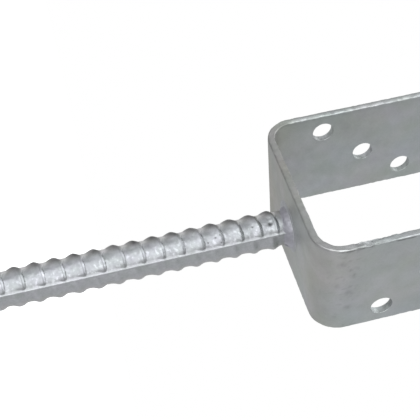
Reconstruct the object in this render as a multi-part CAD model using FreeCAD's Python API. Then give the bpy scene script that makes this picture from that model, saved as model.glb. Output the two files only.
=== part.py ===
import FreeCAD, Part
import math
import os

# Timber post base: a U of folded flat steel on a ribbed anchor bar, galvanised after welding.
# The U opens upwards and takes the post; the bar points down and is cast into concrete.
# Millimetres, +Z up. The origin is the centre of the post seat, the web's upper face.
# X runs across the U from flange to flange, and Y runs along the width of the strip.

# ---- U bracket: one strip, punched and folded --------------------------------------------
strip_width = 60.0
strip_thickness = 4.0
clear_width = 91.0  # between the flanges, for a 90 mm post
flange_height = 125.0  # from the web's underside to the flange ends
inner_bend_radius = 11.0
edge_bevel = 0.6  # broken arris of the sheared edges
tip_corner_radius = 3.0  # corners of the flange ends

# Screw holes of the right-hand flange: height above the web's underside, and distance from
# the strip's centre line towards +Y. The left-hand flange has them turned about the bar.
screw_hole_diameter = 11.5
screw_holes = [(34.0, 18.5), (58.0, -2.0), (82.0, -18.5), (97.0, 16.5)]

# ---- Anchor bar: hot-rolled reinforcing bar ----------------------------------------------
bar_length = 200.0
bar_core_diameter = 18.2
rib_height = 1.3
rib_pitch = 10.2
rib_web_flank = 1.3  # run of a rib's steep flank along the bar, on the side of the web
rib_tip_flank = 2.1  # run of its gentle flank, on the side of the bar's tip
rib_lean = 21.0  # degrees that a crescent rib leans out of the bar's cross-section
rib_bury = 0.6  # how far a rib's flanks carry on below the core's surface
rib_half_span = 73.0  # degrees round the bar from a rib's middle to where it runs out
rib_row_turn = -118.0  # degrees about +Z from +X to the middle of one row of ribs
first_rib_below_web = 8.9
seam_rib_height = 0.8  # the two ribs that run along the bar between the rows
seam_rib_crest_width = 1.1
seam_rib_root_width = 2.3

# ---- Weld around the bar's root ----------------------------------------------------------
weld_leg = 5.0
weld_bulge = 0.4  # how far the bead stands out of the straight line between its toes

# ---- Derived values ----------------------------------------------------------------------
outer_bend_radius = inner_bend_radius + strip_thickness
outer_width = clear_width + 2.0 * strip_thickness
web_underside = -strip_thickness
flange_top = web_underside + flange_height
bar_tip = web_underside - bar_length
core_radius = bar_core_diameter / 2.0
crest_radius = core_radius + rib_height
rib_rise = core_radius * math.tan(math.radians(rib_lean))
rib_room = rib_rise + rib_tip_flank  # length of bar below a rib's middle that it takes up

X_AXIS = FreeCAD.Vector(1, 0, 0)
Y_AXIS = FreeCAD.Vector(0, 1, 0)
Z_AXIS = FreeCAD.Vector(0, 0, 1)
ORIGIN = FreeCAD.Vector(0, 0, 0)


def profile_face(points):
    """A face in the XZ plane with straight sides through (x, z) points."""
    corners = [FreeCAD.Vector(x, 0, z) for x, z in points]
    return Part.Face(Part.makePolygon(corners + corners[:1]))


def u_outline(half_width, bend_radius, base_z, top_z, y):
    """The open line of one skin of the U, from the left flange end to the right one."""
    bend_x = half_width - bend_radius
    bend_z = base_z + bend_radius
    mid = bend_radius * math.sqrt(0.5)

    def point(x, z):
        return FreeCAD.Vector(x, y, z)

    def bend(side):
        start = point(side * bend_x, base_z)
        middle = point(side * (bend_x + mid), bend_z - mid)
        return Part.Arc(start, middle, point(side * half_width, bend_z)).toShape()

    def flange(side):
        foot = point(side * half_width, bend_z)
        return Part.LineSegment(foot, point(side * half_width, top_z)).toShape()

    web = Part.LineSegment(point(-bend_x, base_z), point(bend_x, base_z)).toShape()
    return [flange(-1.0), bend(-1.0), web, bend(1.0), flange(1.0)]


def folded_strip():
    """The strip folded into a U, with its flange corners rounded and its arrises broken."""
    side = -strip_width / 2.0
    outer = u_outline(outer_width / 2.0, outer_bend_radius, web_underside, flange_top, side)
    inner = u_outline(clear_width / 2.0, inner_bend_radius, 0.0, flange_top, side)
    ends = []
    for x in (-1.0, 1.0):
        start = FreeCAD.Vector(x * outer_width / 2.0, side, flange_top)
        end = FreeCAD.Vector(x * clear_width / 2.0, side, flange_top)
        ends.append(Part.LineSegment(start, end).toShape())
    outline = Part.Wire(Part.__sortEdges__(outer + inner + ends))
    strip = Part.Face(outline).extrude(Y_AXIS * strip_width)

    corners = [e for e in strip.Edges if is_flange_corner(e)]
    strip = strip.makeFillet(tip_corner_radius, corners)
    arrises = [e for e in strip.Edges if is_arris(e)]
    return strip.makeChamfer(edge_bevel, arrises)


def is_flange_corner(edge):
    """True for the four short edges across the strip's thickness at the flange ends."""
    box = edge.BoundBox
    across = abs(box.XLength - strip_thickness) < 1e-6
    return across and box.YLength < 1e-6 and abs(box.ZMin - flange_top) < 1e-6 and box.ZLength < 1e-6


def is_arris(edge):
    """True for the edges of the two broad skins, which run round the whole strip."""
    middle = edge.valueAt((edge.FirstParameter + edge.LastParameter) / 2.0)
    on_side = abs(abs(middle.y) - strip_width / 2.0) < 1e-6
    on_end = middle.z > flange_top - tip_corner_radius - 1e-6
    across = edge.BoundBox.XLength > strip_thickness - 1e-6 and edge.BoundBox.ZLength < 1e-6
    return (on_side or on_end) and not (on_end and across)


def u_bracket():
    """The folded strip with its screw holes punched through both flanges."""
    bracket = folded_strip()
    punch_start = outer_width / 2.0 + strip_thickness
    punch_length = 3.0 * strip_thickness
    for height, offset in screw_holes:
        for side in (1.0, -1.0):
            start = FreeCAD.Vector(side * punch_start, side * offset, web_underside + height)
            punch = Part.makeCylinder(
                screw_hole_diameter / 2.0, punch_length, start, X_AXIS * -side)
            bracket = bracket.cut(punch)
    return bracket


def crescent_rib():
    """A leaning disc whose rim stands out of the core as one crescent rib, towards +X.

    In its own leaning plane the rim is an arc. It leaves the core at the rib's two ends and
    stands highest half-way between them. The rest of the disc lies inside the core.
    """
    lean = math.radians(rib_lean)
    span = math.radians(rib_half_span)
    end_x = core_radius * math.cos(span)
    end_y = core_radius * math.sin(span) / math.cos(lean)
    offset = (crest_radius ** 2 - end_x ** 2 - end_y ** 2) / (2.0 * (crest_radius - end_x))
    rim = crest_radius - offset
    buried = rim - rib_height - rib_bury
    widening = 1.0 + rib_bury / rib_height
    section = profile_face([
        (0.0, -rib_tip_flank * widening),
        (-buried, -rib_tip_flank * widening),
        (-rim, 0.0),
        (-buried, rib_web_flank * widening),
        (0.0, rib_web_flank * widening),
    ])
    disc = section.revolve(ORIGIN, Z_AXIS, 360.0)
    disc.translate(X_AXIS * offset)
    disc.rotate(ORIGIN, X_AXIS, rib_lean)
    return disc


def seam_rib():
    """One rib along the whole bar, standing out towards +X."""
    inside = core_radius - seam_rib_root_width / 2.0
    outside = core_radius + seam_rib_height
    corners = [
        FreeCAD.Vector(inside, -seam_rib_root_width / 2.0, bar_tip),
        FreeCAD.Vector(outside, -seam_rib_crest_width / 2.0, bar_tip),
        FreeCAD.Vector(outside, seam_rib_crest_width / 2.0, bar_tip),
        FreeCAD.Vector(inside, seam_rib_root_width / 2.0, bar_tip),
    ]
    return Part.Face(Part.makePolygon(corners + corners[:1])).extrude(Z_AXIS * bar_length)


def rib_levels():
    """Heights of the ribs' middles, from the web down to the last that fits on the bar."""
    first = web_underside - first_rib_below_web
    count = 1 + int((first - rib_room - bar_tip) / rib_pitch)
    return [first - i * rib_pitch for i in range(count)]


def anchor_bar():
    """The bar: a round core, two rows of crescent ribs and a seam rib between the rows."""
    core = Part.makeCylinder(core_radius, bar_length, FreeCAD.Vector(0, 0, bar_tip))
    ribs = []
    for half_turn in (0.0, 180.0):
        row_rib = crescent_rib()
        row_rib.rotate(ORIGIN, Z_AXIS, rib_row_turn + half_turn)
        for level in rib_levels():
            rib = row_rib.copy()
            rib.translate(Z_AXIS * level)
            ribs.append(rib)
        seam = seam_rib()
        seam.rotate(ORIGIN, Z_AXIS, rib_row_turn + half_turn + 90.0)
        ribs.append(seam)
    return core.multiFuse(ribs)


def weld_bead(bar):
    """The fillet weld round the bar's root, cut by the bar so that it seats on every rib."""
    crown = weld_leg / 2.0 + weld_bulge * math.sqrt(0.5)
    section = profile_face([
        (0.0, web_underside),
        (core_radius + weld_leg, web_underside),
        (core_radius + crown, web_underside - crown),
        (core_radius, web_underside - weld_leg),
        (0.0, web_underside - weld_leg),
    ])
    return section.revolve(ORIGIN, Z_AXIS, 360.0).cut(bar)


def single_solid(shape, name):
    """The shape's one solid; anything else is a fault in the model."""
    solids = shape.Solids
    if len(solids) != 1 or not solids[0].isValid():
        raise ValueError(f"{name}: expected one valid solid, got {len(solids)}")
    return solids[0]


def main():
    os.makedirs("parts", exist_ok=True)
    bar = single_solid(anchor_bar(), "anchor_bar")
    nodes = {
        "u_bracket": single_solid(u_bracket(), "u_bracket"),
        "anchor_bar": bar,
        "weld_bead": single_solid(weld_bead(bar), "weld_bead"),
    }
    for name, solid in nodes.items():
        solid.exportStep(f"parts/{name}.step")
        box = solid.BoundBox
        print(name, "volume", round(solid.Volume, 1), "faces", len(solid.Faces),
              "z", round(box.ZMin, 2), round(box.ZMax, 2))


main()
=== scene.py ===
"""Looks of the galvanised timber post base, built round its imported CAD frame.

The row frame has +Z up out of the U, X from flange to flange and Y along the strip's width.
Mesh code works in millimetres, because the details are a millimetre in size, and
make_object turns it into metres.
"""
import math
import random

import bmesh
import bpy
import numpy as np
from mathutils import Matrix, Vector, noise

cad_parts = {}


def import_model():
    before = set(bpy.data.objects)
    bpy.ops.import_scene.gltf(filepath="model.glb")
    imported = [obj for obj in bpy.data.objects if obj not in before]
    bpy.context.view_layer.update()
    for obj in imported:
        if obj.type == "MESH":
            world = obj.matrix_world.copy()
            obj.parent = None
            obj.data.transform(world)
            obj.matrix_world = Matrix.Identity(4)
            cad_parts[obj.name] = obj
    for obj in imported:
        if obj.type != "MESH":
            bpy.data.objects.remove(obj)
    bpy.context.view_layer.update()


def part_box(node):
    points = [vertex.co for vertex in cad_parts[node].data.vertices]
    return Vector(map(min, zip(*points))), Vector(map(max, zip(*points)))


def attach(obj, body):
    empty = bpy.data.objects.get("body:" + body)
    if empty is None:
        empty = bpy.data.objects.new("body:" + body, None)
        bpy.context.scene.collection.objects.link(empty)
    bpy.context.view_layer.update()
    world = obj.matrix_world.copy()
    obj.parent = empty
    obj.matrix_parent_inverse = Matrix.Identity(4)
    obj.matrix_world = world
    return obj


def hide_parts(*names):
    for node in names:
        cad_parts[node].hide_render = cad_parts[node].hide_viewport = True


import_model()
MM = 0.001

# ---- Sizes, from the frame ------------------------------------------------------------------
u_low, u_high = (np.array(corner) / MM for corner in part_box("u_bracket"))
weld_low, weld_high = (np.array(corner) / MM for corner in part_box("weld_bead"))
OUTER_HALF = float(u_high[0])
STRIP_HALF = float(u_high[1])
WEB_UNDERSIDE = float(u_low[2])
THICKNESS = -WEB_UNDERSIDE  # the web's upper face is the origin
FLANGE_TOP = float(u_high[2])
BAR_TIP = float(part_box("anchor_bar")[0][2]) / MM
WELD_LEG = WEB_UNDERSIDE - float(weld_low[2])
CORE_RADIUS = float(weld_high[0]) - WELD_LEG

# Sizes that the frame's boxes don't give, as in the part
INNER_BEND = 11.0
CORNER_RADIUS = 3.0
HOLE_RADIUS = 5.75
HOLES = [(34.0, 18.5), (58.0, -2.0), (82.0, -18.5), (97.0, 16.5)]  # height over underside, offset
RIB_HEIGHT = 1.3
RIB_PITCH = 10.2
RIB_ROW_TURN = math.radians(-118.0)
FIRST_RIB = WEB_UNDERSIDE - 8.9
SEAM_HEIGHT = 0.8
WELD_BULGE = 0.4

# Forms of the zinc-coated ribs that the plainer solids leave out
RIB_RISE = 2.6  # how far a leaning rib's ends are off its middle, along the bar
RIB_LEAN_REACH = 1.45  # how soon round the bar a rib reaches that rise
RIB_HALF_SPAN = math.radians(100.0)  # half the turn over which a rib's height falls away
RIB_RUN_OUT = (math.radians(86.0), math.radians(94.0))  # where its ends run out into the core
LAST_RIB_CUT = 1.8  # how much the weld cuts off the web side of the rib next to it
CREASE_GAP = 1.7  # from a rib's ridge to the crease on its web side
SCALE_CREASE_GAP = 2.7  # how much wider that is on the upper side's scales
LOWER_CREASE_GAP = 4.2  # how far past a ridge of the lower row its web side has run out
SCALE_DENT = 1.1  # how deep the bar's upper side is dented between its ribs
SEAM_FOOT = 0.3
# Each row's turn from the first, the depth of the groove by its ribs, and their web side's width
RIB_ROWS = ((0.0, 0.15, 1.1), (math.pi, 0.0, 2.4))


def lump(points, size, seed, octaves=3):
    """Smooth noise from -1 to 1 at points in millimetres, with features about size wide."""
    shift = Vector((seed * 17.3, seed * 5.1, seed * 29.7))
    scale = 1.0 / size
    values = [noise.fractal(Vector(p) * scale + shift, 1.0, 2.0, octaves, noise_basis="PERLIN_ORIGINAL")
              for p in points]
    return np.clip(np.array(values), -1.0, 1.0)


def bell(distance, width):
    """A smooth bump: 1 at no distance, a third at the width, and soon nothing."""
    return np.exp(-(np.asarray(distance) / width) ** 2)


def ramp(value, low, high):
    """Rises smoothly from 0 at low to 1 at high."""
    share = np.clip((value - low) / (high - low), 0.0, 1.0)
    return share * share * (3.0 - 2.0 * share)


def band(value, rise, fall):
    """1 between a range over which it rises and one over which it falls, and 0 outside them."""
    return ramp(value, *rise) * (1.0 - ramp(value, *fall))


def spot(points, centre, width):
    """How much of a round spot there is at each point."""
    return bell(np.linalg.norm(points - np.array(centre), axis=1), width)


def closed_mesh(vertices, faces):
    """A mesh from millimetres with all its faces turned outwards."""
    mesh = bpy.data.meshes.new("piece")
    mesh.from_pydata((np.asarray(vertices) * MM).tolist(), [], faces)
    build = bmesh.new()
    build.from_mesh(mesh)
    bmesh.ops.recalc_face_normals(build, faces=build.faces)
    build.to_mesh(mesh)
    build.free()
    mesh.update()
    return mesh


def normals_of(mesh):
    """Each vertex's direction straight out of the mesh."""
    flat = np.empty(len(mesh.vertices) * 3)
    mesh.vertices.foreach_get("normal", flat)
    return flat.reshape(-1, 3)


def make_object(name, mesh, vertices, tone, material, node):
    """A smooth-shaded piece on the one body, in place of a CAD node.

    The vertices, in millimetres, take the mesh's to their final places. The tone is each
    vertex's red, green and blue, by which its zinc is darker under 1 and lighter over 1; it holds
    stains and random tone, and also painted highlights and painted shade.
    """
    mesh.vertices.foreach_set("co", (np.asarray(vertices) * MM).ravel())
    mesh.update()
    mesh.shade_smooth()
    shade = mesh.attributes.new("tone", "FLOAT_VECTOR", "POINT")
    shade.data.foreach_set("vector", np.ascontiguousarray(tone, dtype=np.float32).ravel())
    mesh.name = name
    mesh.materials.append(material)
    piece = bpy.data.objects.new(name, mesh)
    bpy.context.scene.collection.objects.link(piece)
    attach(piece, "root")
    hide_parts(node)
    return piece


def coloured(tone, warm):
    """Red, green and blue from a grey tone and how warm it is, where less than 0 is cool."""
    return np.stack([tone * (1.0 + 0.5 * warm), tone, tone * (1.0 - 0.5 * warm)], axis=-1)


# ---- Materials ------------------------------------------------------------------------------
PATCH_DETAIL = 4.0
GRAIN_SIZE = 1.1
GRAIN_DETAIL = 3.0
GRAIN_ROUGHNESS = 0.7
DULLNESS_SIZE = 0.4  # size of the patches of roughness, as a share of the colour's
DULLNESS_DETAIL = 5.0
COARSE_BUMP_SIZE = 3.0
FINE_BUMP_SIZE = 0.5
FINE_BUMP_SHARE = 0.25  # depth of the fine bump, as a share of the coarse one's


def noise_value(tree, place, size, detail, rough=0.55):
    """Soft noise with features about size millimetres wide."""
    node = tree.nodes.new("ShaderNodeTexNoise")
    node.inputs["Scale"].default_value = 1.0 / (size * MM)
    node.inputs["Detail"].default_value = detail
    node.inputs["Roughness"].default_value = rough
    tree.links.new(place, node.inputs["Vector"])
    return node.outputs["Fac"]


def spread(tree, value, low, high):
    """Noise, which keeps near its middle, spread out from low to high."""
    node = tree.nodes.new("ShaderNodeMapRange")
    node.inputs["From Min"].default_value = 0.3
    node.inputs["From Max"].default_value = 0.7
    node.inputs["To Min"].default_value = low
    node.inputs["To Max"].default_value = high
    tree.links.new(value, node.inputs["Value"])
    return node.outputs["Result"]


def vector_math(tree, operation, vector):
    """A vector operation on a colour, whose second input is still to be linked."""
    node = tree.nodes.new("ShaderNodeVectorMath")
    node.operation = operation
    tree.links.new(vector, node.inputs[0])
    return node


def bumped(tree, height, strength, depth):
    """A bump of a depth in millimetres."""
    node = tree.nodes.new("ShaderNodeBump")
    node.inputs["Strength"].default_value = strength
    node.inputs["Distance"].default_value = depth * MM
    tree.links.new(height, node.inputs["Height"])
    return node


def zinc(name, dull, bright, patch_size, roughness, grain, bump):
    """Hot-dip zinc: a metal whose colour drifts in soft patches, with a fine grain over it."""
    material = bpy.data.materials.new(name)
    material.use_nodes = True
    tree = material.node_tree
    nodes, links = tree.nodes, tree.links
    shader = nodes["Principled BSDF"]
    shader.inputs["Metallic"].default_value = 1.0
    place = nodes.new("ShaderNodeTexCoord").outputs["Object"]

    patches = nodes.new("ShaderNodeMix")
    patches.data_type = "RGBA"
    patches.inputs["A"].default_value = (*dull, 1.0)
    patches.inputs["B"].default_value = (*bright, 1.0)
    drift = noise_value(tree, place, patch_size, PATCH_DETAIL)
    links.new(spread(tree, drift, 0.0, 1.0), patches.inputs["Factor"])

    speckled = vector_math(tree, "SCALE", patches.outputs["Result"])
    specks = noise_value(tree, place, GRAIN_SIZE, GRAIN_DETAIL, GRAIN_ROUGHNESS)
    links.new(spread(tree, specks, 1.0 - grain, 1.0 + grain), speckled.inputs["Scale"])
    # The vertices' tone: stains and random tone, and also painted highlights and painted shade
    tone = nodes.new("ShaderNodeAttribute")
    tone.attribute_name = "tone"
    toned = vector_math(tree, "MULTIPLY", speckled.outputs["Vector"])
    links.new(tone.outputs["Vector"], toned.inputs[1])
    links.new(toned.outputs["Vector"], shader.inputs["Base Color"])
    dullness = noise_value(tree, place, patch_size * DULLNESS_SIZE, DULLNESS_DETAIL)
    links.new(spread(tree, dullness, *roughness), shader.inputs["Roughness"])

    coarse = bumped(tree, noise_value(tree, place, COARSE_BUMP_SIZE, 4.0), 0.5, bump)
    fine = bumped(tree, noise_value(tree, place, FINE_BUMP_SIZE, 2.0), 0.4, bump * FINE_BUMP_SHARE)
    links.new(coarse.outputs["Normal"], fine.inputs["Normal"])
    links.new(fine.outputs["Normal"], shader.inputs["Normal"])
    return material


bracket_zinc = zinc("bracket_zinc", (0.50, 0.53, 0.51), (0.56, 0.56, 0.59), 16.0, (0.42, 0.56), 0.04, 0.05)
bar_zinc = zinc("bar_zinc", (0.47, 0.49, 0.49), (0.53, 0.53, 0.56), 5.0, (0.32, 0.48), 0.08, 0.08)
weld_zinc = zinc("weld_zinc", (0.48, 0.49, 0.50), (0.53, 0.54, 0.56), 4.0, (0.48, 0.64), 0.05, 0.10)


# ---- The folded strip -----------------------------------------------------------------------
BEND_X = OUTER_HALF - THICKNESS - INNER_BEND  # half the web's flat length
BEND_LENGTH = math.pi / 2.0 * (INNER_BEND + THICKNESS / 2.0)
FLANGE_LENGTH = FLANGE_TOP - INNER_BEND
STRIP_END = BEND_X + BEND_LENGTH + FLANGE_LENGTH
ARRIS = 0.7  # rounding of the sheared edges under the zinc
RIM_ARRIS = 0.35
CELL = 1.0
BEND_CELLS = 22
HOLE_BLOCK = 8  # cells from a hole's middle to the edge of the patch of rings round it
HOLE_RINGS = 6
SUPPORT = 0.3  # width of the narrow cells that keep a face flat up to its arris
ON_FACE = 0.01  # how near a point is to a face that it belongs to
OUTER_ARRIS = 3.75  # depth, from the inner skin, of the line along the outer arris


def spaced(low, high, cell):
    """Even steps from low to high, each about a cell long."""
    return np.linspace(low, high, max(1, round((high - low) / cell)) + 1)


def strip_lines():
    """Grid lines along the strip, from one flange end's arris to the other's."""
    flange_start = BEND_X + BEND_LENGTH
    web = spaced(0.0, BEND_X, CELL)
    bend = np.linspace(BEND_X, flange_start, BEND_CELLS + 1)[1:]
    flange = spaced(flange_start, STRIP_END - ARRIS - SUPPORT, CELL)[1:]
    half = np.concatenate([web, bend, flange, [STRIP_END - ARRIS]])
    return np.concatenate([-half[:0:-1], half])


def across_lines():
    """Grid lines across the strip, from arris to arris."""
    inside = spaced(-(STRIP_HALF - ARRIS - SUPPORT), STRIP_HALF - ARRIS - SUPPORT, CELL)
    return np.concatenate([[-(STRIP_HALF - ARRIS)], inside, [STRIP_HALF - ARRIS]])


def round_corner(u, v):
    """Moves a point near the end of the flat strip so that its corners are round."""
    radius = CORNER_RADIUS - ARRIS
    u_start, v_start = STRIP_END - CORNER_RADIUS, STRIP_HALF - CORNER_RADIUS
    x, y = (abs(u) - u_start) / radius, (abs(v) - v_start) / radius
    if x <= 0.0 or y <= 0.0:
        return u, v
    u_new = u_start + radius * x * math.sqrt(1.0 - y * y / 2.0)
    v_new = v_start + radius * y * math.sqrt(1.0 - x * x / 2.0)
    return math.copysign(u_new, u), math.copysign(v_new, v)


def hole_places():
    """The middles of all eight holes in the flat strip."""
    for side in (1.0, -1.0):
        for height, offset in HOLES:
            yield side * (STRIP_END - (FLANGE_TOP - (WEB_UNDERSIDE + height))), side * offset


def flat_pattern():
    """One skin of the flat strip: points (u, v), faces, and its outline and the holes' rims."""
    us, vs = strip_lines(), across_lines()
    points = [round_corner(u, v) for u in us for v in vs]
    rows, columns = len(us), len(vs)
    skipped, faces, rims = set(), [], []

    def frame_of(i0, i1, j0, j1):
        """The grid's points round a rectangle, in order."""
        ring = [(i, j0) for i in range(i0, i1)] + [(i1, j) for j in range(j0, j1)]
        ring += [(i, j1) for i in range(i1, i0, -1)] + [(i0, j) for j in range(j1, j0, -1)]
        return [i * columns + j for i, j in ring]

    for u_hole, v_hole in hole_places():
        i_mid = int(np.abs(us - u_hole).argmin())
        j_mid = int(np.abs(vs - v_hole).argmin())
        i0, i1, j0, j1 = i_mid - HOLE_BLOCK, i_mid + HOLE_BLOCK, j_mid - HOLE_BLOCK, j_mid + HOLE_BLOCK
        skipped.update((i, j) for i in range(i0, i1) for j in range(j0, j1))
        ring = frame_of(i0, i1, j0, j1)
        border = [points[k] for k in ring]
        for step in range(1, HOLE_RINGS + 1):
            share = (step / HOLE_RINGS) ** 0.8
            first = len(points)
            for u, v in border:
                angle = math.atan2(v - v_hole, u - u_hole)
                rim_u = u_hole + (HOLE_RADIUS + RIM_ARRIS) * math.cos(angle)
                rim_v = v_hole + (HOLE_RADIUS + RIM_ARRIS) * math.sin(angle)
                points.append((u + share * (rim_u - u), v + share * (rim_v - v)))
            inner = list(range(first, len(points)))
            for a in range(len(ring)):
                b = (a + 1) % len(ring)
                faces.append((ring[a], ring[b], inner[b], inner[a]))
            ring = inner
        rims.append((ring, (u_hole, v_hole)))
    for i in range(rows - 1):
        for j in range(columns - 1):
            if (i, j) not in skipped:
                k = i * columns + j
                faces.append((k, k + columns, k + columns + 1, k + 1))
    return np.array(points), faces, frame_of(0, rows - 1, 0, columns - 1), rims


def edge_profile(radius):
    """Steps down a rounded edge: how far out of the skin's outline, and how deep."""
    turns = np.radians(np.linspace(0.0, 90.0, 6))[1:]
    upper = [(radius * math.sin(turn), radius * (1.0 - math.cos(turn))) for turn in turns]
    middle = [(radius, radius + SUPPORT), (radius, THICKNESS / 2.0), (radius, THICKNESS - radius - SUPPORT)]
    return upper + middle + [(out, THICKNESS - depth) for out, depth in reversed(upper)]


def outward(points, loop):
    """Directions straight out of a loop that is walked with its inside on the left."""
    here = points[loop]
    along = np.roll(here, -1, axis=0) - np.roll(here, 1, axis=0)
    along /= np.linalg.norm(along, axis=1)[:, None]
    return np.stack([along[:, 1], -along[:, 0]], axis=1)


def flat_strip():
    """The whole flat strip, with both skins and its rounded edges: points (u, v, depth) and faces."""
    skin, skin_faces, outline, rims = flat_pattern()
    count = len(skin)
    vertices = [np.column_stack([skin, np.full(count, depth)]) for depth in (0.0, THICKNESS)]
    faces = list(skin_faces)
    faces += [tuple(k + count for k in reversed(face)) for face in skin_faces]
    loops = [(outline, outward(skin, outline), ARRIS)]
    for rim, middle in rims:
        inward = np.array(middle) - skin[rim]
        loops.append((rim, inward / np.linalg.norm(inward, axis=1)[:, None], RIM_ARRIS))
    total = 2 * count
    for loop, way, radius in loops:
        ring = loop
        for out, depth in edge_profile(radius):
            vertices.append(np.column_stack([skin[loop] + out * way, np.full(len(loop), depth)]))
            following = list(range(total, total + len(loop)))
            total += len(loop)
            faces += ring_faces(ring, following)
            ring = following
        faces += ring_faces(ring, [k + count for k in loop])
    return only_used(np.concatenate(vertices), faces)


def only_used(vertices, faces):
    """The vertices that the faces use, without the grid's points inside the holes."""
    used = np.unique([k for face in faces for k in face])
    number = {int(old): new for new, old in enumerate(used)}
    return vertices[used], [tuple(number[k] for k in face) for face in faces]


def ring_faces(one, other):
    """Quads between two rings of as many points."""
    ends = range(len(one))
    return [(one[a], other[a], other[(a + 1) % len(one)], one[(a + 1) % len(one)]) for a in ends]


def fold(flat):
    """Points of the flat strip in the folded U, where depth goes from its inner to its outer skin."""
    u, v, depth = flat.T
    side, along = np.sign(u), np.abs(u)
    turn = np.clip((along - BEND_X) / BEND_LENGTH, 0.0, 1.0) * math.pi / 2.0
    radius = INNER_BEND + depth
    past = np.maximum(along - BEND_X - BEND_LENGTH, 0.0)
    x = np.minimum(along, BEND_X) + radius * np.sin(turn)
    z = INNER_BEND - radius * np.cos(turn) + past
    return np.stack([side * x, v, z], axis=1)


def round_bend(u):
    """How far round its bend each point of the strip is: 0 on the web's side, 1 on the flange's."""
    return (np.abs(u) - BEND_X) / BEND_LENGTH


def edge_light_and_shade(flat, places):
    """Painted highlights on the arrises and painted shade lines along the edges of the strip that face the
    front.
    """
    u, v, depth = flat.T
    gap = STRIP_HALF + v
    on_edge = gap < ARRIS + ON_FACE
    skin = depth > THICKNESS - ON_FACE
    flange = ramp(round_bend(u), 0.3, 1.0)
    web = 1.0 - ramp(round_bend(u), 0.2, 0.9)
    # Patchy strength of the painted highlights and painted shade lines
    edge_patchiness = np.clip(0.85 + 1.2 * lump(places, 3.0, 31, 3), 0.2, 1.6)
    half_edge_patchiness = 0.5 + 0.5 * edge_patchiness
    # Near flange: a painted highlight on the outer arris, fading up the flange, with a painted shade line
    # beside it
    near = (u > 0.0) * flange
    fade = 1.0 - 0.45 * ramp(places[:, 2], 6.0, 20.0)
    tone = near * on_edge * (fade * 0.70 * bell(depth - OUTER_ARRIS, 0.5) * edge_patchiness - 0.04)
    tone -= near * skin * 0.34 * bell(gap - 1.15, 0.45) * edge_patchiness ** 2
    # Far flange: a painted highlight on the inner arris and painted shade on the dull outer one, which
    # starts dark at the bend
    far = (u < 0.0) * ramp(round_bend(u), 0.7, 1.2)
    tone += far * on_edge * (0.65 * bell(depth - 0.9, 1.0) * edge_patchiness - 0.15 * bell(depth - 3.3, 0.9))
    tone -= 0.25 * (u < 0.0) * (flange - far) * bell(depth - 0.3, 0.7) * (gap < 1.2)
    # Web: painted shade on the dull outer arris, with a faint painted shade line beside it
    tone -= web * on_edge * (0.24 * bell(depth - OUTER_ARRIS, 0.6) * half_edge_patchiness + 0.06)
    tone -= web * skin * 0.14 * bell(gap - 0.9, 0.6) * half_edge_patchiness
    return tone


def hole_wall_light_and_shade(flat, places):
    """Painted light on the walls of the holes: brighter walls with patchy painted glints, and painted shade
    towards the strip's end.
    """
    tone = np.zeros(len(flat))
    for u_hole, v_hole in hole_places():
        wall = np.hypot(flat[:, 0] - u_hole, flat[:, 1] - v_hole) < HOLE_RADIUS + RIM_ARRIS + ON_FACE
        wall = wall & (flat[:, 2] > SUPPORT) & (flat[:, 2] < THICKNESS - SUPPORT)
        towards_tip = (np.abs(flat[:, 0]) - abs(u_hole)) / HOLE_RADIUS
        tone += wall * (0.10 + 0.35 * lump(places, 2.5, 33, 2) - 0.28 * np.clip(towards_tip, -0.4, 1.0))
    return tone


STAIN_SEED = 5


def stains():
    """Seeded stains: the middle, width and depth of each, in clusters like those on the real zinc."""
    draw = random.Random(STAIN_SEED)
    by_bend, up_flange = (3.0, 14.5), (12.0, 29.0)
    front_face, front_edge, far_face = OUTER_HALF, 0.7 - STRIP_HALF, THICKNESS - OUTER_HALF
    for _ in range(8):
        yield (front_face, draw.uniform(-21.0, 15.0), draw.uniform(*by_bend)), draw.uniform(0.8, 1.8), 0.25
    for _ in range(4):
        yield (front_face, front_edge, draw.uniform(*up_flange)), draw.uniform(1.0, 1.3), 0.27
    for _ in range(5):
        place = (far_face, draw.uniform(-28.0, 20.0), draw.uniform(2.0, 45.0))
        yield place, draw.uniform(1.6, 4.0), draw.uniform(-0.06, 0.12)
    for _ in range(3):
        place = (draw.uniform(-22.0, -5.0), draw.uniform(-18.0, -9.0), WEB_UNDERSIDE)
        yield place, draw.uniform(2.5, 5.0), draw.uniform(-0.09, 0.03)


def bracket_stains_and_painted_light(flat, places):
    """Stains, smears and random tone on the U's zinc, with painted highlights and painted shade on its
    edges, bends, web and hole walls.
    """
    u = flat[:, 0]
    drift, fine, speck = (lump(places, *kind) for kind in ((30.0, 11, 2), (7.0, 12, 3), (2.2, 14, 2)))
    near_bend = bell(u - BEND_X - BEND_LENGTH, 9.0)
    tone = 1.0 + 0.05 * drift + 0.05 * fine - (0.02 + 0.12 * near_bend) * ramp(speck, 0.25, 0.7)
    warm = 0.05 * lump(places, 24.0, 13, 2)
    # Both bends are a little warmer, and the near one has painted shade
    bend = bell((np.abs(u) - BEND_X - BEND_LENGTH / 2.0), BEND_LENGTH * 0.55)
    warm += 0.04 * bend
    tone -= 0.06 * bend * (u > 0.0)
    # The web has painted shade and is warmer, most of all towards the far flange
    far_side = 1.0 - ramp(places[:, 0], -25.0, 25.0)
    web = 1.0 - ramp(round_bend(u), 0.0, 0.8)
    tone -= web * (0.03 + 0.10 * far_side)
    warm += (0.04 + 0.05 * far_side) * web
    ragged = 0.8 + 0.6 * lump(places, 1.8, 15, 2)
    for middle, width, depth in stains():
        tone -= depth * spot(places, middle, width) * ragged
    tone += edge_light_and_shade(flat, places) + hole_wall_light_and_shade(flat, places)
    return coloured(np.clip(tone, 0.4, 1.8), warm) * np.array([1.0, 1.012, 1.0])


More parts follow.
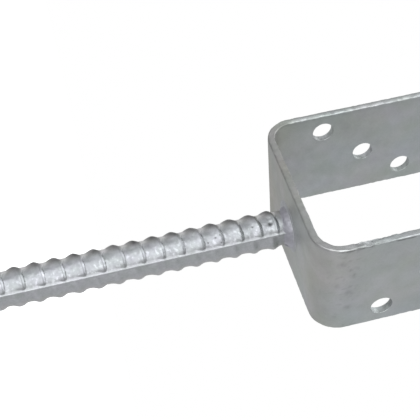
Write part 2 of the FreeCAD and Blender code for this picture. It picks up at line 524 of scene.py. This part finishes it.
def bracket():
    """The U: a flat strip with rounded arrises, folded, with the unevenness of its zinc."""
    flat, faces = flat_strip()
    places = fold(flat)
    mesh = closed_mesh(places, faces)
    normals = normals_of(mesh)
    wave = 0.04 * (lump(places, 22.0, 1, 2) - 1.0)
    gap = np.minimum(STRIP_HALF - np.abs(flat[:, 1]), STRIP_END - np.abs(flat[:, 0]))
    at_edge = bell(gap, 1.0)
    burr = 0.22 * (lump(places, 2.6, 2) - 0.9) * at_edge
    ragged = bell(places[:, 2] - 23.0, 13.0) * (places[:, 0] > BEND_X) * (places[:, 1] < 0.0) * at_edge
    burr += 0.95 * (lump(places, 2.4, 3) - 0.45) * ragged
    moved = places + normals * (wave + burr)[:, None]
    moved = np.clip(moved, u_low, u_high)
    return make_object("bracket_body", mesh, moved, bracket_stains_and_painted_light(flat, places), bracket_zinc,
                       "u_bracket")


# ---- The ribbed bar -------------------------------------------------------------------------
AROUND = 150
ALONG = 600
TIP_RINGS = (0.93, 0.75, 0.55, 0.35, 0.15)
TIP_CHAMFER = 0.8  # how far along the bar its tip is rounded off
TIP_INSET = 0.5
SEAM_TURN = -28.0
# Degrees round the bar over which a part of its upper row begins and ends
FRONT = ((34.0, 60.0), (100.0, 120.0))
CAP = ((80.0, 116.0), (165.0, 180.0))
BLOW_HOLE = (-14.3, -69.0, 1.0, 0.6)  # the large pit by the weld: level, turn, width and depth
PIT_SEED = 3


def pits():
    """The large blow-hole by the weld, and seeded small ones on the side that faces the front."""
    yield BLOW_HOLE
    draw = random.Random(PIT_SEED)
    for _ in range(6):
        yield draw.uniform(-48.0, -19.0), draw.uniform(-98.0, -42.0), draw.uniform(0.3, 0.42), 0.28


def wrapped(angle):
    """Angles brought between -pi and pi."""
    return (angle + math.pi) % (2.0 * math.pi) - math.pi


def upper_side(turn):
    """How much of the bar's upper row of ribs is a row of deep scales at a turn: 1 at the top."""
    below = ramp(-np.degrees(wrapped(turn)), 84.0, 118.0)
    return below * ramp(np.degrees(turn_from(turn, -135.0)), -50.0, -25.0)


def turn_from(turn, degrees):
    """How far each angle is round from one that is given in degrees."""
    return wrapped(turn - math.radians(degrees))


def rib_places(turn, level, row):
    """How far each point is past its rib's ridge, towards the web, and the rib's share of height.

    A rib owns the bar from its own crease back to the crease of the one before it.
    """
    count = 1 + int((FIRST_RIB - BAR_TIP - 5.5) / RIB_PITCH)
    around = wrapped(turn - RIB_ROW_TURN - row)
    lowest = math.cos(RIB_HALF_SPAN)
    span = np.clip((np.cos(around) - lowest) / (1.0 - lowest), 0.0, 1.0)
    span = span * (1.0 - ramp(np.abs(around), *RIB_RUN_OUT))
    ridge = FIRST_RIB + RIB_RISE * np.sin(np.clip(RIB_LEAN_REACH * around, -math.pi / 2.0, math.pi / 2.0))
    if not row:
        level = level + LAST_RIB_CUT * ramp(level, FIRST_RIB - 1.0, FIRST_RIB + RIB_RISE)
    behind = ridge + (LOWER_CREASE_GAP if row else crease_gap(turn)) - level
    steps = np.clip(np.floor(behind / RIB_PITCH), 0, count - 1)
    return level - (ridge - steps * RIB_PITCH), span


def crease_gap(turn):
    """How far past a ridge the crease of the scale lies."""
    return CREASE_GAP + SCALE_CREASE_GAP * upper_side(turn)


def scale_height(past, turn):
    """Share of height over a scale of the upper side: a dome from crease to crease."""
    gap = crease_gap(turn)
    web_side = 1.0 - np.clip(past / gap, 0.0, 1.2) ** 1.35
    tip_side = 1.0 - np.clip(-past / (RIB_PITCH - gap), 0.0, 1.0) ** 1.5
    return np.clip(np.where(past > 0.0, web_side, tip_side), 0.0, 1.0)


def bar_radius(turn, level):
    """The bar's radius at angles round it and levels along it: core, ribs and seams."""
    radius = np.full(turn.shape, CORE_RADIUS)
    upper = upper_side(turn)
    for row, groove, width in RIB_ROWS:
        past, span = rib_places(turn, level, row)
        web_side = np.exp(-(np.abs(past) / width) ** 2.4) - groove * bell(past - CREASE_GAP, 0.3)
        tip_side = np.exp(-(np.abs(past) / 2.3) ** 1.6)
        height = RIB_HEIGHT * span ** 0.55 * np.where(past > 0.0, web_side, tip_side)
        if not row:
            scale = (RIB_HEIGHT + SCALE_DENT) * scale_height(past, turn) - SCALE_DENT
            scale = np.where(level > FIRST_RIB + 3.0, 0.0, scale)
            height = height * (1.0 - upper) + scale * upper
        radius = np.where(height > 0.0, np.maximum(radius, CORE_RADIUS + height), radius + height)
    for row, *_ in RIB_ROWS:
        seam = CORE_RADIUS * np.abs(wrapped(turn - RIB_ROW_TURN - row - math.pi / 2.0))
        crest = (SEAM_HEIGHT - SEAM_FOOT) * np.exp(-(seam / 0.6) ** 3.0)
        radius = np.maximum(radius, CORE_RADIUS + crest + SEAM_FOOT * bell(seam, 1.4))
    for pit_level, pit_turn, width, depth in pits():
        aside = CORE_RADIUS * turn_from(turn, pit_turn)
        radius = radius - depth * bell(np.hypot(aside, level - pit_level), width)
    return radius


def scale_painted_light(past, turn, degrees, patchy):
    """The upper row's painted light: painted highlights on shoulders and flanks, and painted shade in the
    creases and on the crests.
    """
    gap = crease_gap(turn)
    shoulder = ramp(degrees, 34.0, 48.0) * (1.0 - 0.8 * ramp(degrees, 80.0, 105.0))
    tone = 0.40 * bell(past - gap + 0.8, 0.42) * shoulder * patchy
    tone -= 0.68 * bell(past - gap - 0.1, 0.33) * band(degrees, *FRONT)
    cap = band(degrees, *CAP)
    tone -= 0.58 * cap * bell(past + 0.4, 2.4) * patchy
    tone += 1.1 * cap * bell(past - 0.85 * gap, 1.3)
    return tone + 0.8 * cap * bell(past - gap + RIB_PITCH, 1.5)


def seam_painted_light(turn, patchy):
    """A painted highlight on the seam that faces the front, and a painted shade line over it."""
    seam = CORE_RADIUS * turn_from(turn, SEAM_TURN)
    return (0.03 + 0.16 * patchy) * bell(seam + 0.1, 0.40) - 0.22 * bell(seam + 1.6, 0.9) * patchy


def lower_row_painted_light(turn, level, degrees):
    """The lower row: painted light on its ribs' web sides, and painted shade by the weld and along its
    underside.
    """
    past = rib_places(turn, level, math.pi)[0]
    below = ramp(-degrees, -20.0, 0.0) * ramp(60.0 + degrees, 0.0, 20.0)
    tone = below * (0.12 + 0.12 * ramp(level, -24.0, -10.0)) * bell(past - 1.5, 1.2)
    tone -= 0.30 * bell(degrees + 50.0, 7.0) * ramp(-level, 60.0, 130.0)
    return tone - 0.10 * below * ramp(level, -22.0, -8.0)


def pit_painted_shade(turn, level, places):
    """Painted shade in the weld's crater and in the pits."""
    crater = np.linalg.norm(places - np.array(CRATER), axis=1).reshape(turn.shape)
    tone = -0.6 * bell(crater, 1.5)
    for pit_level, pit_turn, width, depth in pits():
        aside = CORE_RADIUS * turn_from(turn, pit_turn)
        tone -= 0.75 * bell(np.hypot(aside, level - pit_level), width * 0.9)
    return tone


def bar_tone_and_painted_light(turn, level, places):
    """The zinc of the ribs, seams and pits, with painted highlights, painted glints and painted shade on
    the side that faces the front.
    """
    past = rib_places(turn, level, 0.0)[0]
    degrees = -np.degrees(wrapped(turn))
    patchy = 1.0 + 0.6 * lump(places, 5.0, 21, 2).reshape(turn.shape)
    # Painted shade on the band that faces the front, to dim its highlight
    tone = 1.0 - 0.10 * band(degrees, (38.0, 55.0), (80.0, 95.0)) - 0.05 * bell(degrees - 46.0, 18.0)
    tone += scale_painted_light(past, turn, degrees, patchy) + seam_painted_light(turn, patchy)
    # Painted glints on the side that faces the front
    painted_glint = ramp(lump(places, 1.5, 23, 3).reshape(turn.shape), 0.15, 0.55)
    tone += 0.35 * painted_glint * band(degrees, (30.0, 42.0), (62.0, 85.0))
    tone += lower_row_painted_light(turn, level, degrees) + pit_painted_shade(turn, level, places)
    tone = np.clip(tone + 0.05 * lump(places, 3.0, 22, 2).reshape(turn.shape), 0.15, 1.8)
    cap = band(degrees, *CAP)
    warm = 0.07 * cap - 0.02 * band(degrees, *FRONT) * (1.0 - cap) + 0.05 * ramp(-degrees, 0.0, 25.0)
    return coloured(tone.ravel(), warm.ravel())


def bar():
    """The bar's skin as one grid, closed by its cropped tip and at the web."""
    turns = np.linspace(0.0, 2.0 * math.pi, AROUND, endpoint=False)
    levels = np.linspace(BAR_TIP, WEB_UNDERSIDE, ALONG)
    turn, level = np.meshgrid(turns, levels)
    tip = np.clip(1.0 - (level - BAR_TIP) / TIP_CHAMFER, 0.0, 1.0)
    radius = bar_radius(turn, level) - TIP_INSET * tip ** 2
    places = np.stack([radius * np.cos(turn), radius * np.sin(turn), level], axis=-1).reshape(-1, 3)
    out = np.stack([np.cos(turn), np.sin(turn), np.zeros_like(turn)], axis=-1).reshape(-1, 3)
    rough = 0.10 * (lump(places, 5.0, 3) - 0.6) + 0.05 * (lump(places, 1.6, 4) - 0.6)
    places = places + out * rough[:, None]
    tone = bar_tone_and_painted_light(turn, level, places)
    faces = []
    for j in range(ALONG - 1):
        ring = list(range(j * AROUND, (j + 1) * AROUND))
        faces += ring_faces(ring, [k + AROUND for k in ring])
    ring = list(range(AROUND))
    cap = places[:AROUND]
    extra = []
    for share in TIP_RINGS:
        extra.append(cap * np.array([share, share, 1.0]))
        following = list(range(len(places) + AROUND * (len(extra) - 1), len(places) + AROUND * len(extra)))
        faces += ring_faces(following, ring)
        ring = following
    faces.append(tuple(reversed(ring)))
    faces.append(tuple((ALONG - 1) * AROUND + i for i in range(AROUND)))
    extra = np.concatenate(extra)
    extra[:, 2] += 0.12 * (1.0 + lump(extra, 4.0, 7, 2))
    vertices = np.concatenate([places, extra])
    tone = np.concatenate([tone, np.full((len(extra), 3), 0.85)])
    mesh = closed_mesh(vertices, faces)
    return make_object("bar_body", mesh, vertices, tone, bar_zinc, "anchor_bar")


# ---- The weld -------------------------------------------------------------------------------
WELD_AROUND = 220
FILLET_STEPS = 22
BURIED = 0.3  # how far the weld's hidden side lies inside the web and the bar
CRATER = (8.3, 5.6, WEB_UNDERSIDE - 3.8)


def weld_section(foot, drop):
    """The weld's closed section: distance out of the bar, and depth under the web."""
    steps = [(WELD_LEG + 0.1, -BURIED), (WELD_LEG, 0.03), ((WELD_LEG + foot) / 2.0, 0.06)]
    for k in range(FILLET_STEPS):
        share = k / (FILLET_STEPS - 1)
        belly = WELD_BULGE * math.sin(math.pi * share)
        out = foot * (1.0 - share) ** 1.25 + belly
        steps.append((max(out, 0.06), 0.10 + (drop - 0.10) * share ** 1.25 + belly))
    steps += [(-BURIED - 0.3, drop), (-BURIED - 0.3, -BURIED)]
    return steps


def weld():
    """A hand-laid fillet, fullest towards the near flange, with a crater where it ends; painted shade dims
    the side that faces the key light and darkens the crater.
    """
    vertices, shade = [], []
    for i in range(WELD_AROUND):
        turn = 2.0 * math.pi * i / WELD_AROUND
        way = (math.cos(turn) * CORE_RADIUS, math.sin(turn) * CORE_RADIUS, 0.0)
        wander = lump([way, (way[0], way[1], 40.0)], 9.0, 5, 2)
        full = 0.5 + 0.5 * math.cos(turn)
        # How much the fillet faces the key light, whose highlight painted shade dims
        lit = max(0.0, math.cos(turn - math.radians(-75.0)))
        section = weld_section(WELD_LEG * (0.27 + 0.35 * full + 0.08 * wander[0]),
                               WELD_LEG * (0.50 + 0.45 * full + 0.05 * wander[1]))
        for out, down in section:
            radius = CORE_RADIUS + out
            vertices.append((radius * math.cos(turn), radius * math.sin(turn), WEB_UNDERSIDE - down))
            shade.append(1.0 - 0.25 * lit * (0.3 < down))
    vertices = np.array(vertices)
    rows = len(section)
    faces = []
    for i in range(WELD_AROUND):
        ring = list(range(i * rows, (i + 1) * rows))
        following = [(i + 1) % WELD_AROUND * rows + j for j in range(rows)]
        faces += ring_faces(ring, following)
    mesh = closed_mesh(vertices, faces)
    normals = normals_of(mesh)
    shown = np.tile(np.array([0.0, 0.0, 0.2] + [1.0] * FILLET_STEPS + [0.0, 0.0]), WELD_AROUND)
    moved = vertices + normals * (0.22 * lump(vertices, 3.4, 6) * shown)[:, None]
    crater = spot(vertices, CRATER, 1.5)
    moved -= normals * (0.8 * crater * shown)[:, None]
    bead = ramp(WEB_UNDERSIDE - vertices[:, 2], 0.15, 0.8)
    # Painted shade on the side that faces the key light and in the crater, over a little random tone
    tone = np.array(shade) + 0.07 * lump(vertices, 4.0, 8, 2) - 0.6 * crater
    tint = 1.0 + bead[:, None] * np.array([0.01, -0.02, 0.04])
    return make_object("weld_body", mesh, moved, tint * tone[:, None], weld_zinc, "weld_bead")


bracket()
bar()
weld()


# ---- Floor, light and camera ----------------------------------------------------------------
# Lobes of the studio's light: direction, low and high cosine with it, and what they add
KEY_LIGHT = ((0.43, -0.90, -0.33), 0.66, 0.95, 1.25)
SHADES = (((-0.95, 0.10, 0.15), 0.35, 0.95, -0.14),
          ((0.0, 0.0, 1.0), 0.0, 1.0, -0.18),
          ((-0.12, -0.33, 0.93), 0.76, 0.95, 1.2),
          ((0.0, 0.0, -1.0), 0.3, 1.0, -0.12))
BASE_LIGHT = 0.65
FLOOR_RADIUS = 3.0  # metres
FLOOR_GLOW = 0.75
FLOOR_GAP = 0.0002  # metres under the bar's tip
CAMERA_TARGET = (-15.3, -8.7, -41.9)
CAMERA_ANGLES = (44.1, -6.0, 77.7)  # azimuth, elevation and roll in degrees
CAMERA_DISTANCE = 434.5
CAMERA_LENS = 70.92


def floor():
    """A wide pale floor under the bar's tip, which glows a little so that it reads as white.

    The metal doesn't mirror it, so that the studio's light reaches the web's underside.
    """
    build = bmesh.new()
    bmesh.ops.create_circle(build, cap_ends=True, radius=FLOOR_RADIUS, segments=128)
    mesh = bpy.data.meshes.new("floor")
    build.to_mesh(mesh)
    build.free()
    material = bpy.data.materials.new("floor_pale")
    material.use_nodes = True
    shader = material.node_tree.nodes["Principled BSDF"]
    shader.inputs["Base Color"].default_value = (0.85, 0.85, 0.85, 1.0)
    shader.inputs["Roughness"].default_value = 0.9
    shader.inputs["Specular IOR Level"].default_value = 0.0
    shader.inputs["Emission Color"].default_value = (1.0, 1.0, 1.0, 1.0)
    shader.inputs["Emission Strength"].default_value = FLOOR_GLOW
    mesh.materials.append(material)
    plate = bpy.data.objects.new("floor", mesh)
    plate.location.z = BAR_TIP * MM - FLOOR_GAP
    plate.visible_glossy = False
    plate.visible_diffuse = False
    plate.visible_shadow = False
    bpy.context.scene.collection.objects.link(plate)


def light_lobe(tree, place, direction, low, high, strength):
    """Light that rises smoothly from a low to a high cosine with a direction."""
    dot = vector_math(tree, "DOT_PRODUCT", place)
    dot.inputs[1].default_value = Vector(direction).normalized()
    rise = tree.nodes.new("ShaderNodeMapRange")
    rise.interpolation_type = "SMOOTHSTEP"
    rise.inputs["From Min"].default_value = low
    rise.inputs["From Max"].default_value = high
    rise.inputs["To Max"].default_value = strength
    tree.links.new(dot.outputs["Value"], rise.inputs["Value"])
    return rise.outputs["Result"]


def added(tree, one, other):
    """The sum of two values."""
    total = tree.nodes.new("ShaderNodeMath")
    total.operation = "ADD"
    tree.links.new(one, total.inputs[0])
    tree.links.new(other, total.inputs[1])
    return total.outputs["Value"]


def world():
    """A white studio: white behind the object, and on it the light of broad soft lobes."""
    studio = bpy.data.worlds.new("studio")
    studio.use_nodes = True
    tree = studio.node_tree
    nodes, links = tree.nodes, tree.links
    place = nodes.new("ShaderNodeTexCoord").outputs["Generated"]
    light = light_lobe(tree, place, *KEY_LIGHT)
    for shade in SHADES:
        light = added(tree, light, light_lobe(tree, place, *shade))
    base = nodes.new("ShaderNodeValue")
    base.outputs["Value"].default_value = BASE_LIGHT
    fill = nodes.new("ShaderNodeBackground")
    fill.inputs["Color"].default_value = (0.97, 0.985, 1.0, 1.0)
    links.new(added(tree, light, base.outputs["Value"]), fill.inputs["Strength"])
    backdrop = nodes["Background"]
    backdrop.inputs["Color"].default_value = (1.0, 1.0, 1.0, 1.0)
    backdrop.inputs["Strength"].default_value = 1.0
    ray = nodes.new("ShaderNodeLightPath")
    mix = nodes.new("ShaderNodeMixShader")
    links.new(ray.outputs["Is Camera Ray"], mix.inputs["Fac"])
    links.new(fill.outputs["Background"], mix.inputs[1])
    links.new(backdrop.outputs["Background"], mix.inputs[2])
    links.new(mix.outputs["Shader"], nodes["World Output"].inputs["Surface"])
    bpy.context.scene.world = studio


def camera():
    """Looks at the web's underside from the front right, turned so that the bar lies flat."""
    target = Vector(CAMERA_TARGET) * MM
    azimuth, elevation, roll = (math.radians(angle) for angle in CAMERA_ANGLES)
    distance = CAMERA_DISTANCE * MM
    forward = Vector((-math.sin(azimuth) * math.cos(elevation), math.cos(azimuth) * math.cos(elevation),
                      -math.sin(elevation)))
    lens = bpy.data.cameras.new("camera")
    lens.lens = CAMERA_LENS
    lens.sensor_width = 36.0
    lens.clip_start = 0.01
    eye = bpy.data.objects.new("camera", lens)
    upright = (-forward).to_track_quat("Z", "Y").to_matrix().to_4x4()
    place = Matrix.Translation(target - forward * distance)
    eye.matrix_world = place @ upright @ Matrix.Rotation(roll, 4, "Z")
    bpy.context.scene.collection.objects.link(eye)
    bpy.context.scene.camera = eye


floor()
world()
camera()

bpy.context.scene.view_settings.view_transform = "Standard"
